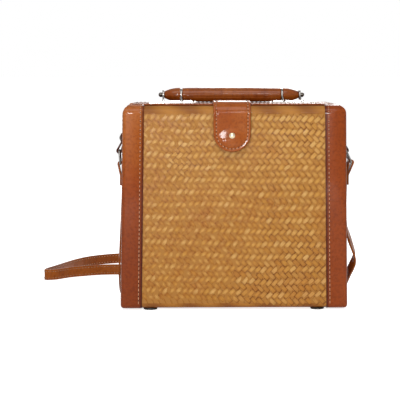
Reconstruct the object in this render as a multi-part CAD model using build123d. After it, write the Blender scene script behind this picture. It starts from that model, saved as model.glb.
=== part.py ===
from build123d import *
from math import asin, atan, cos, degrees, hypot, radians, sin, sqrt
import os

os.makedirs("parts", exist_ok=True)

# A box-shaped shoulder bag of plaited bamboo and leather, with a hinged lid, a folding handle and a
# strap. Millimetres. X runs to the right, Y to the back and Z up. The origin is on the ground under
# the middle of the case.


# Sizes of the case
base_width = 229.0
top_width = 223.0
depth = 94.4
case_height = 205.0
foot_height = 1.6
shoulder_radius = 9.2
end_shoulder_radius = 10.0
heel_radius = 5.0
end_heel_radius = 4.6
corner_radius = 3.6
band_thickness = 1.2
skin_thickness = 1.4
wall_thickness = 3.2
base_thickness = 4.0
rail_height = 14.0
rim_width = 12.6
lining_thickness = 0.8
band_front_width = 21.5
band_side_width = 16.0
skin_turn_in = 12.2
foot_radius = 7.0
foot_inset_x = 30.0
foot_inset_y = 9.5

# Sizes of the plait, whose strips run at 45 degrees
strip_run = 6.1
strip_rise = 6.4
groove_half_width = 0.5
groove_depth = 0.5
back_plait_scale = 2
plait_tuck = 4.0

# Sizes of the lid, its hinges and its closure
lid_gap = 0.3
lid_edge_gap = 0.4
lid_back_gap = 0.9
lid_leather_thickness = 1.5
lid_board_thickness = 4.0
lid_board_gap = 1.0
lid_corner_radius = 4.0
hinge_length = 26.0
hinge_offset = 60.0
hinge_leaf_thickness = 0.7
hinge_leaf_width = 14.4
hinge_seat_depth = 1.2
hinge_seat_width = 4.9
hinge_set_back = 1.2
hinge_pin_radius = 0.7
hinge_knuckles = 5
knuckle_gap = 0.1
tab_width = 37.0
tab_offset = -2.8
tab_thickness = 3.0
tab_bend_radius = 10.0
tab_seam_y = -12.0
tab_hang = 47.2
stud_from_end = 16.0
stud_radius = 3.5
stud_dome = 2.2
magnet_radius = 8.0
magnet_thickness = 2.0
keeper_radius = 8.5
keeper_thickness = 1.6
magnet_gap = 0.2

# Sizes of the handle, which lies folded back on its saddle plates
plate_offset = 61.9
plate_y = 2.0
saddle_length = 41.0
saddle_width = 11.0
saddle_sheet = 0.6
flange_length = 5.0
plate_rivet_radius = 2.2
plate_rivet_dome = 1.1
rivet_shank_radius = 1.0
bail_wire_radius = 0.95
bail_width = 18.6
bail_reach = 26.1
bail_bend_radius = 1.4
bail_lift = 0.15
slot_width = 3.4
rod_radius = 2.3
inner_disc_radius = 6.6
outer_disc_radius = 5.2
disc_edge = 0.4
eye_side_gap = 0.15
grip_radius = 7.6
grip_end_radius = 7.0
grip_edge = 0.8
grip_rest_gap = 0.4
sleeve_inner_radius = 7.2
sleeve_outer_radius = 3.5
nut_radius = 2.6
nut_length = 4.0

# Sizes of the rings at the sides and of the strap
ring_bar_drop = 48.1
ring_bar_offset = 5.2
ring_wire_radius = 1.1
ring_half_width = 8.6
ring_reach = 13.5
ring_corner_radius = 2.2
right_ring_tilt = 24.0
left_ring_tilt = -5.0
chape_width = 12.0
chape_leather = 2.0
chape_height = 17.5
chape_grip_height = 9.0
chape_rivet_radius = 3.6
chape_rivet_dome = 1.6
strap_width = 12.0
strap_thickness = 1.8
strap_overlap = 35.5
strap_joint = 10.0
strap_right_join = 6.4
strap_left_join = 2.6
ribbon_turn = 9.0
ribbon_step = 24
strap_facing = 1.0

# Clearances
running_gap = 0.05
fixed_gap = 0.02
leather_gap = 0.1
beyond = 60.0

# Levels and places that follow from the sizes above
case_top = foot_height + case_height
lean = (base_width - top_width) / 2 / case_height
skin_inset = band_thickness
board_inset = band_thickness + skin_thickness
skin_top = case_top - skin_inset
rail_top = case_top - board_inset
rail_bottom = case_top - rail_height
board_bottom = foot_height + board_inset
floor_level = board_bottom + base_thickness
half_depth = depth / 2
opening_half_depth = half_depth - board_inset - rim_width
opening_half_width = top_width / 2 - board_inset - rim_width
weave_face = half_depth - skin_inset
lid_bottom = skin_top + lid_gap
lid_top = lid_bottom + lid_leather_thickness
lid_front = -(half_depth - shoulder_radius) - lid_edge_gap
lid_half_width = top_width / 2 - end_shoulder_radius + lid_edge_gap
hinge_seat = rail_top - hinge_seat_depth
knuckle_radius = (lid_bottom - hinge_seat) / 2
hinge_z = hinge_seat + knuckle_radius
hinge_y = half_depth - shoulder_radius + hinge_set_back
lid_back = hinge_y - knuckle_radius - lid_back_gap
tab_end_height = lid_top - tab_hang
stud_height = tab_end_height + stud_from_end
ring_bar_height = case_top - ring_bar_drop
plate_top = lid_top + bail_lift + 2 * bail_wire_radius + leather_gap + saddle_sheet
bail_pivot_z = lid_top + bail_lift + bail_wire_radius
saddle_half_width = saddle_width / 2
rod_z = lid_top + grip_rest_gap + grip_radius
rod_y = plate_y + sqrt(bail_reach**2 - (rod_z - bail_pivot_z) ** 2)
bail_rest_angle = degrees(asin((rod_z - bail_pivot_z) / bail_reach))
inner_eye = plate_offset - bail_width / 2
outer_eye = plate_offset + bail_width / 2
eye_room = bail_wire_radius + eye_side_gap
strap_fold_radius = ring_wire_radius + leather_gap + strap_thickness
chape_loop_radius = ring_wire_radius + leather_gap + chape_leather


def save(name, shape):
    """Writes one piece, or one group of like pieces, to its own file."""
    shape.label = name
    export_step(shape, f"parts/{name}.step")


def block(x_from, x_to, y_from, y_to, z_from, z_to):
    """A plain block between six planes."""
    size = Box(x_to - x_from, y_to - y_from, z_to - z_from)
    return Pos((x_from + x_to) / 2, (y_from + y_to) / 2, (z_from + z_to) / 2) * size


def across(shape):
    """The same shape on the other side of the bag."""
    return mirror(shape, about=Plane.YZ)


def to_back(shape):
    """The same shape at the back of the bag."""
    return mirror(shape, about=Plane.XZ)


def to_far_corner(shape):
    """The same shape on the other side and at the back."""
    return Rot(0, 0, 180) * shape


def half_width(z):
    """Half the case's width over its leather bands, at height z."""
    return base_width / 2 - (z - foot_height) * lean


# The case's form: three views that are cut from one another, drawn in by the thickness of each layer


def form(inset):
    """The outside of the case drawn in by inset, with its rounded shoulders, heels and corners."""
    low = foot_height + inset
    high = case_top - inset
    side_view = Pos(0, (low + high) / 2) * Rectangle(depth - 2 * inset, high - low)
    side_view = fillet(side_view.vertices().group_by(Axis.Y)[-1], shoulder_radius - inset)
    side_view = fillet(side_view.vertices().group_by(Axis.Y)[0], heel_radius - inset)
    low_half = half_width(low) - inset
    high_half = half_width(high) - inset
    front_view = make_face(
        Polyline((-low_half, low), (low_half, low), (high_half, high), (-high_half, high), close=True)
    )
    front_view = fillet(front_view.vertices().group_by(Axis.Y)[-1], end_shoulder_radius - inset)
    front_view = fillet(front_view.vertices().group_by(Axis.Y)[0], end_heel_radius - inset)
    solid = extrude(Plane.YZ * side_view, base_width, both=True)
    solid &= extrude(Plane.XZ * front_view, depth, both=True)
    radius = corner_radius - inset
    outside = Pos(beyond / 2, beyond / 2) * Rectangle(beyond, beyond) - Circle(radius)
    start = Pos(low_half - radius, half_depth - inset - radius, low)
    tool = extrude(start * outside, hypot(high - low, (high - low) * lean), dir=(-lean, 0, 1))
    return solid - [tool, across(tool), to_back(tool), to_far_corner(tool)]


outer_form = form(0)
skin_form = form(skin_inset)
board_form = form(board_inset)


def inner_block(half_y, inset, z_from, z_to):
    """A block that leans in with the case's sides, inset from them and half_y deep each way."""
    low = half_width(z_from) - inset
    high = half_width(z_to) - inset
    front_view = make_face(Polyline((-low, z_from), (low, z_from), (high, z_to), (-high, z_to), close=True))
    return extrude(Plane.XZ * front_view, half_y, both=True)


# Boards, rails and lining


def make_boards():
    """The box inside the skins: a base, four walls and the four rails of the rim."""
    wall_half_depth = half_depth - board_inset - wall_thickness
    hollow = inner_block(wall_half_depth, board_inset + wall_thickness, floor_level, rail_bottom)
    walls = board_form & block(-base_width, base_width, -depth, depth, floor_level, rail_bottom)
    walls -= hollow
    front = walls & block(-base_width, base_width, -depth, -wall_half_depth, 0, case_top)
    side = walls & block(0, base_width, -wall_half_depth, wall_half_depth, 0, case_top)
    base = board_form & block(-base_width, base_width, -depth, depth, 0, floor_level)
    rebate_x = half_width(foot_height) - skin_turn_in
    rebate_y = half_depth - skin_turn_in
    base += block(-rebate_x, rebate_x, -rebate_y, rebate_y, foot_height + band_thickness, board_bottom)
    mouth = block(
        -opening_half_width,
        opening_half_width,
        -opening_half_depth,
        opening_half_depth,
        rail_bottom,
        case_top,
    )
    rim = (board_form & block(-base_width, base_width, -depth, depth, rail_bottom, case_top)) - mouth
    front_rail = rim & block(-base_width, base_width, -depth, -opening_half_depth, 0, case_top)
    side_rail = rim & block(
        opening_half_width, base_width, -opening_half_depth, opening_half_depth, 0, case_top
    )
    inset = board_inset + wall_thickness + lining_thickness
    lining = hollow - inner_block(
        wall_half_depth - lining_thickness, inset, floor_level + lining_thickness, rail_bottom
    )
    return {
        "base_board": base,
        "front_board": front,
        "back_board": to_back(front),
        "right_board": side,
        "left_board": across(side),
        "front_rail": front_rail,
        "back_rail": to_back(front_rail),
        "right_rail": side_rail,
        "left_rail": across(side_rail),
        "lining": lining,
    }


# Plaited skins


def zigzag_panel(half_x, z_low, z_high, run, rise, scale):
    """A flat sheet whose front is cut by zigzag grooves, as strips of a plait cross in steps."""
    lanes = int(2 * half_x // (run * scale))
    rows = round((z_high - z_low) / (rise * scale))
    pitch = 2 * half_x / (lanes + 1)
    levels = [z_low + (z_high - z_low) * row / rows for row in range(rows + 1)]
    front = -weave_face
    back = front + skin_thickness

    def line(lane, side, y):
        """One edge of a groove: side is -1 for its left lip, 0 for its root and 1 for its right lip."""
        middle = -half_x + pitch * (lane + 1) + side * groove_half_width
        swing = pitch / 4
        return [(middle + swing * (-1) ** row, y, z) for row, z in enumerate(levels)]

    left_edge = [(-half_x, front, z_low), (-half_x, front, z_high)]
    right_edge = [(half_x, front, z_low), (half_x, front, z_high)]
    lefts = [line(lane, -1, front) for lane in range(lanes)]
    roots = [line(lane, 0, front + groove_depth) for lane in range(lanes)]
    rights = [line(lane, 1, front) for lane in range(lanes)]
    loops = []
    for first, second in zip([left_edge] + rights, lefts + [right_edge]):
        loops.append(first + second[::-1])
    for first, second in [*zip(lefts, roots), *zip(roots, rights)]:
        for row in range(rows):
            loops.append([first[row], second[row], second[row + 1], first[row + 1]])
    for end in (0, -1):
        z = levels[end]
        lips = [side[end] for lane in zip(lefts, roots, rights) for side in lane]
        loops.append([(-half_x, back, z), (-half_x, front, z), *lips, (half_x, front, z), (half_x, back, z)])
    for x in (-half_x, half_x):
        loops.append([(x, front, z_low), (x, back, z_low), (x, back, z_high), (x, front, z_high)])
    loops.append(
        [(-half_x, back, z_low), (half_x, back, z_low), (half_x, back, z_high), (-half_x, back, z_high)]
    )
    faces = [Face(Wire.make_polygon([Vector(*point) for point in loop], close=True)) for loop in loops]
    return Solid(Shell(faces))


def make_skins():
    """The plaited front and back and the leather sides, which bend over the shoulders and under the base."""
    turn_x = top_width / 2 - skin_turn_in
    turn_y = half_depth - skin_turn_in
    layer = skin_form - board_form
    layer -= block(-turn_x, turn_x, -turn_y, turn_y, case_top / 2, case_top)
    rebate_x = half_width(foot_height) - skin_turn_in
    layer -= block(-rebate_x, rebate_x, -turn_y, turn_y, 0, case_top / 2)
    corner = (base_width + top_width) / 4
    mitre = make_face(
        Polyline(
            (corner - half_depth, 0),
            (corner + beyond, -half_depth - beyond),
            (corner + beyond, half_depth + beyond),
            close=True,
        )
    )
    side_wedge = extrude(mitre, case_top)
    side = layer & side_wedge
    front = layer & block(-base_width, base_width, -depth, 0, 0, case_top)
    front -= [side_wedge, across(side_wedge)]
    plait_low = foot_height + heel_radius
    plait_high = case_top - shoulder_radius
    plait_half = half_width(plait_high) - band_front_width + plait_tuck
    seat = block(-plait_half, plait_half, -depth, 0, plait_low, plait_high)
    plain = front - seat
    fine = zigzag_panel(plait_half, plait_low, plait_high, strip_run, strip_rise, 1)
    coarse = zigzag_panel(plait_half, plait_low, plait_high, strip_run, strip_rise, back_plait_scale)
    return {
        "front_weave": plain + fine,
        "back_weave": to_back(plain + coarse),
        "right_side_leather": side,
        "left_side_leather": across(side),
    }


def make_bands():
    """The four leather bands folded round the upright corners, and the leather under the base."""
    layer = outer_form - skin_form
    column_x = lid_half_width + lid_edge_gap
    column_y = -lid_front + lid_edge_gap
    layer -= block(-column_x, column_x, -column_y, column_y, 0, case_top)
    low_in = half_width(0) - band_front_width
    high_in = half_width(case_top) - band_front_width
    front_view = make_face(
        Polyline((low_in, 0), (base_width, 0), (base_width, case_top), (high_in, case_top), close=True)
    )
    corner = extrude(Plane.XZ * front_view, depth)
    corner &= block(0, base_width, -depth, -half_depth + band_side_width, 0, case_top)
    band = layer & corner
    under = block(
        -column_x + leather_gap,
        column_x - leather_gap,
        -column_y + leather_gap,
        column_y - leather_gap,
        foot_height,
        foot_height + band_thickness,
    )
    return {
        "front_right_band": band,
        "front_left_band": across(band),
        "back_right_band": to_back(band),
        "back_left_band": to_far_corner(band),
        "bottom_leather": under,
    }


def make_feet():
    """Four low round feet under the base."""
    x = half_width(foot_height) - foot_inset_x
    y = half_depth - foot_inset_y
    foot = Cylinder(foot_radius, foot_height, align=(Align.CENTER, Align.CENTER, Align.MIN))
    foot = chamfer(foot.edges().group_by(Axis.Z)[0], foot_height / 3)
    pieces = {}
    for end, sign_y in (("front", -1), ("back", 1)):
        for side, sign_x in (("left", -1), ("right", 1)):
            pieces[f"{end}_{side}_foot"] = Pos(sign_x * x, sign_y * y, 0) * foot
    return pieces


# Hinges of the lid, recessed in the back rail


def knuckle_row(start):
    """Every second knuckle of a hinge about the origin, beginning with number start."""
    length = hinge_length / hinge_knuckles
    row = Part()
    for number in range(start, hinge_knuckles, 2):
        middle = -hinge_length / 2 + length * (number + 0.5)
        barrel = Cylinder(knuckle_radius, length - knuckle_gap, rotation=(0, 90, 0))
        row += Pos(middle, 0, 0) * barrel
    return row


def hinge_leaf(start, width, level):
    """A leaf with its own knuckles: level is -1 for the leaf on the rail and 1 for the one on the lid."""
    leaf = block(
        -hinge_length / 2,
        hinge_length / 2,
        -width,
        0,
        knuckle_radius - hinge_leaf_thickness,
        knuckle_radius,
    )
    if level < 0:
        leaf = mirror(leaf, about=Plane.XY)
    length = hinge_length / hinge_knuckles
    for number in range(1 - start, hinge_knuckles, 2):
        middle = -hinge_length / 2 + length * (number + 0.5)
        room = length + knuckle_gap
        leaf -= Pos(middle, 0, 0) * Cylinder(knuckle_radius + knuckle_gap, room, rotation=(0, 90, 0))
        notch = block(-room / 2, room / 2, -knuckle_radius - knuckle_gap, 1, -3, 3)
        leaf -= Pos(middle, 0, 0) * notch
    leaf += knuckle_row(start)
    leaf -= Cylinder(hinge_pin_radius + running_gap, hinge_length + 2, rotation=(0, 90, 0))
    return Pos(hinge_offset, hinge_y, hinge_z) * leaf


def make_hinges():
    """Two butt hinges: the leaves, and the pins that turn with the lid."""
    case_leaf = hinge_leaf(0, hinge_seat_width, -1)
    lid_leaf = hinge_leaf(1, hinge_leaf_width, 1)
    pin = Pos(hinge_offset, hinge_y, hinge_z) * Cylinder(hinge_pin_radius, hinge_length, rotation=(0, 90, 0))
    pieces = {}
    for side, place in (("right", lambda shape: shape), ("left", across)):
        pieces[f"{side}_hinge_case_leaf"] = place(case_leaf)
        pieces[f"{side}_hinge_lid_leaf"] = place(lid_leaf)
        pieces[f"{side}_hinge_pin"] = place(pin)
    return pieces


def hinge_seats():
    """The recesses for both hinges in the back rail and the plait over it."""
    half = hinge_length / 2 + lid_gap
    seat = block(
        hinge_offset - half,
        hinge_offset + half,
        hinge_y - hinge_seat_width - leather_gap,
        hinge_y + knuckle_radius + lid_gap,
        hinge_seat,
        case_top,
    )
    return [seat, across(seat)]


# Lid with its closure tab


def round_part(radius, length, x, y, z):
    """An upright cylinder on the point x, y, z."""
    return Pos(x, y, z) * Cylinder(radius, length, align=(Align.CENTER, Align.CENTER, Align.MIN))


def dome(radius, height):
    """A shallow cap of a sphere that stands on the origin and rises along Z."""
    ball = (radius**2 + height**2) / (2 * height)
    cap = Pos(0, 0, height - ball) * Sphere(ball)
    return cap & block(-radius, radius, -radius, radius, 0, height)


def plate_rivet_places():
    """The middles of the four rivets that hold the saddle plates."""
    reach = saddle_length / 2 + flange_length / 2
    return [(side * plate_offset + end * reach, plate_y) for side in (-1, 1) for end in (-1, 1)]


def make_lid():
    """The lid board and its leather, bored for the plates' rivets."""
    leather = Pos(0, (lid_front + lid_back) / 2, lid_bottom) * extrude(
        RectangleRounded(2 * lid_half_width, lid_back - lid_front, lid_corner_radius), lid_leather_thickness
    )
    leather = fillet(leather.edges().group_by(Axis.Z)[-1], lid_leather_thickness / 3)
    half_x = opening_half_width - lid_board_gap
    half_y = opening_half_depth - lid_board_gap
    board = block(-half_x, half_x, -half_y, half_y, lid_bottom - lid_board_thickness, lid_bottom)
    half = hinge_length / 2 + leather_gap
    mortise = block(
        hinge_offset - half,
        hinge_offset + half,
        hinge_y - hinge_leaf_width - leather_gap,
        depth,
        lid_bottom - hinge_leaf_thickness - fixed_gap,
        lid_bottom,
    )
    board -= [mortise, across(mortise)]
    for x, y in plate_rivet_places():
        hole = round_part(rivet_shank_radius + fixed_gap, lid_top, x, y, lid_bottom - lid_board_thickness / 2)
        leather -= hole
        board -= hole
    return {"lid_leather": leather, "lid_board": board}


def make_tab():
    """The closure tab, bent over the front edge, with its magnet, stud and the keeper on the plait."""
    magnet_face = -weave_face - keeper_thickness - magnet_gap
    inside = magnet_face - magnet_thickness
    outside = inside - tab_thickness
    inner = FilletPolyline(
        (tab_seam_y, lid_top), (inside, lid_top), (inside, tab_end_height), radius=tab_bend_radius
    )
    outer = FilletPolyline(
        (tab_seam_y, lid_top + tab_thickness),
        (outside, lid_top + tab_thickness),
        (outside, tab_end_height),
        radius=tab_bend_radius + tab_thickness,
    )
    ends = [Line(inner @ 0, outer @ 0), Line(inner @ 1, outer @ 1)]
    profile = make_face([inner, outer, *ends])
    tab = extrude(Plane.YZ * profile, tab_width / 2, both=True)
    half = tab_width / 2
    outline = Pos(0, tab_end_height + half) * Circle(half)
    outline += Pos(0, tab_end_height + half + case_top / 2) * Rectangle(tab_width, case_top)
    tab &= extrude(Plane.XZ * outline, depth, both=True)
    place = Pos(tab_offset, 0, 0)
    facing = Rot(90, 0, 0)
    bore = Pos(0, magnet_face - magnet_thickness / 2, stud_height) * facing
    shank_length = magnet_thickness / 2 + tab_thickness
    bottom = (Align.CENTER, Align.CENTER, Align.MIN)
    shank = bore * Cylinder(rivet_shank_radius, shank_length, align=bottom)
    hole = bore * Cylinder(rivet_shank_radius + fixed_gap, shank_length, align=bottom)
    stud = shank + Pos(0, outside, stud_height) * facing * dome(stud_radius, stud_dome)
    magnet = Pos(0, magnet_face, stud_height) * facing * Cylinder(
        magnet_radius, magnet_thickness, align=bottom
    )
    keeper = Pos(0, -weave_face, stud_height) * facing * Cylinder(
        keeper_radius, keeper_thickness, align=bottom
    )
    keeper = fillet(keeper.edges().group_by(Axis.Y)[0], keeper_thickness / 3)
    return {
        "closure_tab": place * (tab - hole),
        "tab_magnet": place * (magnet - hole),
        "tab_stud": place * stud,
        "keeper_disc": place * keeper,
    }


# Handle: saddle plates, wire bails, and the grip on its rod


def make_plates():
    """A pressed saddle plate at each end of the handle, slotted for the bail's legs, and its rivets."""
    height = plate_top - lid_top
    length = saddle_length + 2 * flange_length
    saddle = block(-saddle_length / 2, saddle_length / 2, -saddle_half_width, saddle_half_width, 0, height)
    saddle = fillet(saddle.edges().group_by(Axis.Z)[-1], 2 * saddle_sheet)
    flange = extrude(RectangleRounded(length, saddle_width, flange_length / 2), saddle_sheet)
    plate = saddle + flange
    plate -= block(
        -saddle_length / 2 + saddle_sheet,
        saddle_length / 2 - saddle_sheet,
        -saddle_half_width + saddle_sheet,
        saddle_half_width - saddle_sheet,
        0,
        height - saddle_sheet,
    )
    slope = (rod_z - bail_pivot_z) / (rod_y - plate_y)
    slot_floor = bail_pivot_z - lid_top + (saddle_half_width - saddle_sheet) * slope
    slot_floor -= bail_wire_radius * hypot(1, slope) + leather_gap
    for side in (-1, 1):
        middle = side * bail_width / 2
        plate -= block(
            middle - slot_width / 2,
            middle + slot_width / 2,
            -saddle_width,
            saddle_width,
            slot_floor,
            height,
        )
    rivet_reach = saddle_length / 2 + flange_length / 2
    shank_length = lid_board_thickness / 2 + lid_leather_thickness + saddle_sheet
    rivets = Part()
    for side in (-1, 1):
        head = Pos(side * rivet_reach, 0, saddle_sheet) * dome(plate_rivet_radius, plate_rivet_dome)
        shank_foot = saddle_sheet - shank_length
        shank = round_part(rivet_shank_radius, shank_length, side * rivet_reach, 0, shank_foot)
        plate -= round_part(rivet_shank_radius + fixed_gap, height, side * rivet_reach, 0, 0)
        rivets += head + shank
    pieces = {}
    for side, x in (("right", plate_offset), ("left", -plate_offset)):
        place = Pos(x, plate_y, lid_top)
        pieces[f"{side}_handle_plate"] = place * plate
        pieces[f"{side}_plate_rivets"] = place * rivets
    return pieces


def make_bails():
    """A wire bail at each end: a bar under the saddle, two legs and a disc eye on each round the rod."""
    half = bail_width / 2
    leg_top = bail_reach - (outer_disc_radius + rod_radius) / 2
    route = FilletPolyline((-half, leg_top), (-half, 0), (half, 0), (half, leg_top), radius=bail_bend_radius)
    start = Plane(origin=route @ 0, z_dir=route % 0)
    bail = sweep(start * Circle(bail_wire_radius), path=route)
    bore = Cylinder(rod_radius + running_gap, 4 * bail_wire_radius)
    for x, radius in ((-half, inner_disc_radius), (half, outer_disc_radius)):
        disc = Cylinder(radius, 2 * bail_wire_radius)
        disc = fillet(disc.edges(), disc_edge)
        eye = Pos(x, bail_reach, 0) * Rot(0, 90, 0)
        bail += eye * disc
        bail -= eye * bore
    right = Pos(plate_offset, plate_y, bail_pivot_z) * Rot(bail_rest_angle, 0, 0) * bail
    return {"right_bail": right, "left_bail": across(right)}


def turned(profile):
    """A round piece on the rod, turned from a profile of distance along X against radius."""
    solid = revolve(profile, axis=Axis.X, revolution_arc=360)
    return Pos(0, rod_y, rod_z) * solid


def make_grip():
    """The padded grip, the tapered sleeves between each bail's eyes, the rod and its cap nuts."""
    bore = rod_radius + fixed_gap
    half = inner_eye - eye_room
    barrel = make_face(
        [
            Line((-half, bore), (half, bore)),
            Line((half, bore), (half, grip_end_radius - grip_edge)),
            Line((half, grip_end_radius - grip_edge), (half - grip_edge, grip_end_radius)),
            ThreePointArc(
                (half - grip_edge, grip_end_radius), (0, grip_radius), (-half + grip_edge, grip_end_radius)
            ),
            Line((-half + grip_edge, grip_end_radius), (-half, grip_end_radius - grip_edge)),
            Line((-half, grip_end_radius - grip_edge), (-half, bore)),
        ]
    )
    near = inner_eye + eye_room
    far = outer_eye - eye_room
    middle = (near + far) / 2
    bulge = sleeve_inner_radius - (sleeve_inner_radius - sleeve_outer_radius) / 5
    sleeve = make_face(
        [
            Line((near, bore), (near, sleeve_inner_radius)),
            ThreePointArc((near, sleeve_inner_radius), (middle, bulge), (far, sleeve_outer_radius)),
            Line((far, sleeve_outer_radius), (far, bore)),
            Line((far, bore), (near, bore)),
        ]
    )
    nut_start = outer_eye + eye_room
    flat = nut_length - nut_radius
    nut = make_face(
        [
            Line((nut_start, 0), (nut_start, nut_radius)),
            Line((nut_start, nut_radius), (nut_start + flat, nut_radius)),
            RadiusArc((nut_start + flat, nut_radius), (nut_start + nut_length, 0), nut_radius),
            Line((nut_start + nut_length, 0), (nut_start, 0)),
        ]
    )
    right_sleeve = turned(sleeve)
    right_nut = turned(nut)
    rod = Pos(0, rod_y, rod_z) * Cylinder(rod_radius, 2 * nut_start, rotation=(0, 90, 0))
    return {
        "handle_grip": turned(barrel),
        "handle_rod": rod,
        "right_sleeve": right_sleeve,
        "left_sleeve": across(right_sleeve),
        "right_cap_nut": right_nut,
        "left_cap_nut": across(right_nut),
    }


# Rings at the sides, their leather chapes, and the strap

side_tilt = atan(lean)
side_x = half_width(ring_bar_height) - skin_inset
side_plane = Plane(
    origin=(side_x, 0, ring_bar_height),
    x_dir=(cos(side_tilt), 0, sin(side_tilt)),
    z_dir=(0, -1, 0),
)


def folded_loop(centre, outer_radius, leather, end_x, end_y, end_height):
    """The side view of leather folded round a wire and closed on itself in a doubled end."""
    doubled = Pos(end_x, end_y) * Rectangle(2 * leather, end_height)
    around = Pos(*centre) * Circle(outer_radius)
    near_y = end_y - end_height / 2 if end_y > centre[1] else end_y + end_height / 2
    near_edge = Line((end_x - leather, near_y), (end_x + leather, near_y))
    shape = doubled + make_hull([near_edge, *around.edges()])
    nip = Pos(end_x + (centre[0] - end_x) / 8, near_y + (centre[1] - near_y) / 8) * Circle(leather_gap)
    inside = Pos(*centre) * Circle(outer_radius - leather)
    return shape - make_hull([*nip.edges(), *inside.edges()])


def ring_bottom(tilt):
    """The middle of the ring's lower wire, seen from the front: away from the side, and up."""
    turn = radians(tilt)
    return ring_bar_offset + ring_reach * sin(turn), -ring_reach * cos(turn)


def make_chapes():
    """The leather loops that hold the rings, each closed and fastened by one rivet."""
    profile = folded_loop(
        (ring_bar_offset, 0),
        chape_loop_radius,
        chape_leather,
        chape_leather,
        chape_height - chape_grip_height / 2,
        chape_grip_height,
    )
    chape = extrude(side_plane * profile, chape_width / 2, both=True)
    axis = side_plane * Pos(0, chape_height - chape_grip_height / 2, 0) * Rot(0, 90, 0)
    bottom = (Align.CENTER, Align.CENTER, Align.MIN)
    shank_length = 2 * chape_leather + skin_thickness + wall_thickness / 2
    inward = skin_thickness + wall_thickness / 2
    shank = axis * Pos(0, 0, -inward) * Cylinder(rivet_shank_radius, shank_length, align=bottom)
    hole = axis * Pos(0, 0, -inward) * Cylinder(
        rivet_shank_radius + fixed_gap, shank_length, align=bottom
    )
    head = axis * Pos(0, 0, 2 * chape_leather) * dome(chape_rivet_radius, chape_rivet_dome)
    pieces = {
        "right_chape": chape - hole,
        "left_chape": across(chape - hole),
        "right_chape_rivet": shank + head,
        "left_chape_rivet": across(shank + head),
    }
    return pieces, hole


def make_ring(tilt):
    """An oblong ring of round wire on the right side, hanging from its upper bar at a tilt."""
    outline = Pos(0, -ring_reach / 2) * RectangleRounded(
        2 * ring_half_width, ring_reach, ring_corner_radius
    )
    route = outline.wire()
    start = Plane(origin=route @ 0, z_dir=route % 0)
    ring = sweep(start * Circle(ring_wire_radius), path=route)
    hang = Plane(
        origin=side_plane.from_local_coords(Vector(ring_bar_offset, 0, 0)),
        x_dir=(0, 1, 0),
        z_dir=side_plane.x_dir,
    )
    return hang * Rot(-tilt, 0, 0) * ring


def strap_frame(tangent):
    """The directions across a strap and through it, where it hangs or runs on its edge along tangent."""
    heading_x = tangent.X
    heading_y = tangent.Y + strap_facing * abs(tangent.Z)
    through = Vector(heading_y, -heading_x, 0).normalized()
    through = (through - tangent * through.dot(tangent)).normalized()
    return through.cross(tangent), through


def ribbon(route):
    """A flat strap along a route, in straight pieces that are short where it bends."""
    steps = max(2, round(route.length))
    kept = [0]
    for step in range(1, steps):
        turn = (route % (kept[-1] / steps)).get_angle(route % (step / steps))
        if turn > ribbon_turn or step - kept[-1] > ribbon_step:
            kept.append(step)
    kept.append(steps)
    sections = []
    for step in kept:
        middle = route @ (step / steps)
        across_strap, through = strap_frame(route % (step / steps))
        wide = across_strap * (strap_width / 2)
        thick = through * (strap_thickness / 2)
        corners = [middle + wide + thick, middle - wide + thick, middle - wide - thick, middle + wide - thick]
        sections.append(Wire.make_polygon(corners, close=True))
    return Solid.make_loft(sections, ruled=True)


def beside(side, height, away, back):
    """A point at that height beside the case: away from its side, and back from its middle."""
    return Vector(side * (half_width(height) + away), back, height)


def strap_end(side, tilt, join, hanging, foot, foot_heading):
    """One end of the strap: its fold round the ring, its doubled end and its drop to the ground."""
    centre = ring_bottom(tilt)
    profile = folded_loop(
        centre, strap_fold_radius, strap_thickness, join, -strap_overlap + strap_joint / 2, strap_joint
    )
    fold = extrude(side_plane * profile, strap_width / 2, both=True)
    start = side_plane.from_local_coords(Vector(join - strap_thickness / 2, -strap_overlap, 0))
    if side < 0:
        fold = across(fold)
        start = Vector(-start.X, start.Y, start.Z)
    down = Vector(side * sin(side_tilt), 0, -cos(side_tilt))
    points = [beside(side, start.Z * share, away, back) for share, away, back in hanging]
    route = Spline([start, *points, foot], tangents=[down, foot_heading])
    return fold + ribbon(route), route


def make_strap():
    """The strap: both ends hang from the rings, and the rest stands on its edge on the ground behind."""
    lie = strap_width / 2
    right_foot = beside(1, lie, 2.6, half_depth + 12.8)
    left_foot = beside(-1, lie, -0.4, half_depth + 14.8)
    right_heading = Vector(-0.12, 1, 0)
    left_heading = Vector(0.25, 1, 0)
    right, right_route = strap_end(
        1,
        right_ring_tilt,
        strap_right_join,
        [(0.81, 3.9, 0.8), (0.62, 5.6, 2), (0.5, 10, 3), (0.39, 14, 5), (0.29, 11.3, 12), (0.18, 8, 28)],
        right_foot,
        right_heading,
    )
    left, left_route = strap_end(
        -1,
        left_ring_tilt,
        strap_left_join,
        [(0.8, 1.1, 1), (0.57, 2.1, 4), (0.34, 3.3, 14), (0.14, 3.3, 34)],
        left_foot,
        left_heading,
    )
    behind = [
        (112, 100),
        (92, 160),
        (52, 225),
        (-5, 278),
        (-60, 306),
        (-105, 311),
        (-133, 302),
        (-158, 284),
        (-184, 238),
        (-200, 194),
        (-208, 171),
        (-207.5, 163),
        (-201, 162.5),
        (-188, 175),
        (-170, 190),
        (-148, 201),
        (-123, 204),
        (-101, 197),
        (-88, 178),
        (-87, 148),
        (-97, 108),
    ]
    points = [right_foot, *[Vector(x, y, lie) for x, y in behind], left_foot]
    run_route = Spline(points, tangents=[right_heading, left_heading * -1])
    total = right_route.length + left_route.length + run_route.length + 2 * strap_overlap
    print("strap length about", round(total))
    return {"right_strap_end": right, "left_strap_end": left, "strap_run": ribbon(run_route)}


# Putting the pieces together

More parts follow.
